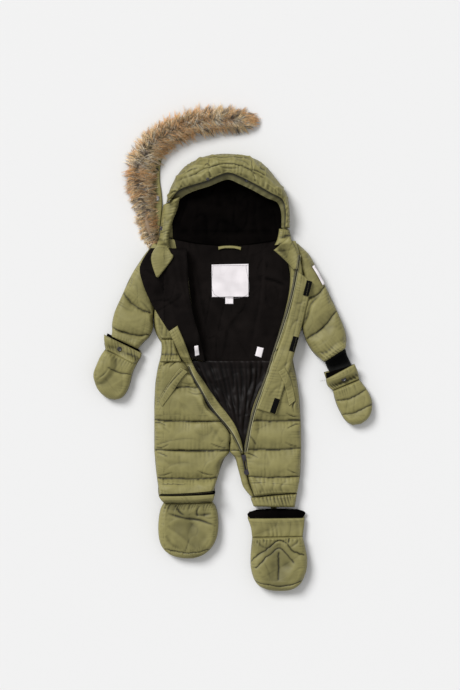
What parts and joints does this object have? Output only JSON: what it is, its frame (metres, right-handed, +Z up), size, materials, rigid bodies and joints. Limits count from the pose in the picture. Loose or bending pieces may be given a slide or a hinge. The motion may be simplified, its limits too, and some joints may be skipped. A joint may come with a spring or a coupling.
{
  "type": "toddler snowsuit",
  "caption": "Quilted olive snowsuit for a toddler, laid open flat with hood, fur trim, mittens and booties.",
  "frame": {"origin": "middle of the suit's own box, on the floor that it lies on", "axes": "+Z up off the floor, +Y from the feet to the hood, +X to the right as seen from above"},
  "size_m": [0.694, 1.2024, 0.0744],
  "materials": {
    "olive_nylon": "olive woven nylon, lightly quilted",
    "dark_facing": "dark olive woven facing",
    "black_fleece": "black brushed fleece",
    "brown_satin": "very dark brown lining satin",
    "black_rib": "black rib knit",
    "zip_tape": "black woven tape",
    "hook_patch": "black hook patch",
    "white_label": "white label ribbon",
    "fur": "tan and brown imitation fur",
    "metal": "dull grey metal"
  },
  "bodies": {
    "garment": {"back_bodice": "olive_nylon", "back_trouser_left": "olive_nylon", "back_trouser_right": "olive_nylon", "sleeve_back_left": "olive_nylon", "sleeve_back_right": "olive_nylon", "sleeve_front_left": "olive_nylon", "sleeve_front_right": "olive_nylon", "front_bodice_left": "olive_nylon", "front_bodice_right": "olive_nylon", "front_waist_left": "olive_nylon", "front_trouser_left": "olive_nylon", "front_trouser_right": "olive_nylon", "front_gusset": "olive_nylon", "leg_cuff_right": "olive_nylon", "pocket_welt_left": "olive_nylon", "pocket_welt_right": "olive_nylon", "lapel_shell_left": "olive_nylon", "placket_left": "olive_nylon", "storm_flap_right": "olive_nylon", "hood_back": "olive_nylon", "hood_crown": "olive_nylon", "hood_side_left": "olive_nylon", "hood_side_right": "olive_nylon", "chin_guard_left": "olive_nylon", "chin_guard_right": "olive_nylon", "fur_tape": "olive_nylon", "mitten_palm_left": "olive_nylon", "mitten_palm_right": "olive_nylon", "mitten_hand_left": "olive_nylon", "mitten_hand_right": "olive_nylon", "mitten_cuff_left": "olive_nylon", "mitten_cuff_right": "olive_nylon", "mitten_thumb_left": "olive_nylon", "bootie_sole_left": "olive_nylon", "bootie_sole_right": "olive_nylon", "bootie_upper_left": "olive_nylon", "bootie_upper_right": "olive_nylon", "bootie_cuff_left": "olive_nylon", "bootie_cuff_right": "olive_nylon", "bootie_strap": "olive_nylon", "hang_loop": "olive_nylon", "hood_facing": "dark_facing", "lining_fleece": "black_fleece", "hood_lining": "black_fleece", "lapel_fleece_left": "black_fleece", "lining_satin": "brown_satin", "rib_cuff_right": "black_rib", "zip_tape_left": "zip_tape", "zip_tape_right": "zip_tape", "velcro_top": "hook_patch", "velcro_middle": "hook_patch", "velcro_bottom": "hook_patch", "care_label": "white_label", "side_tag_left": "white_label", "side_tag_right": "white_label", "fur_trim": "fur", "snap_tape": "metal", "snap_sleeve": "metal", "zip_slider": "metal"},
    "zip_pull": {"zip_pull": "metal"}
  },
  "joints": [
    {"name": "zip_pull_hinge", "type": "hinge", "parent": "garment", "child": "zip_pull", "pos_m": [0.02816, -0.2717, 0.03132], "axis": [-0.9833, -0.1822, 0], "range_deg": [0, 150]}
  ]
}
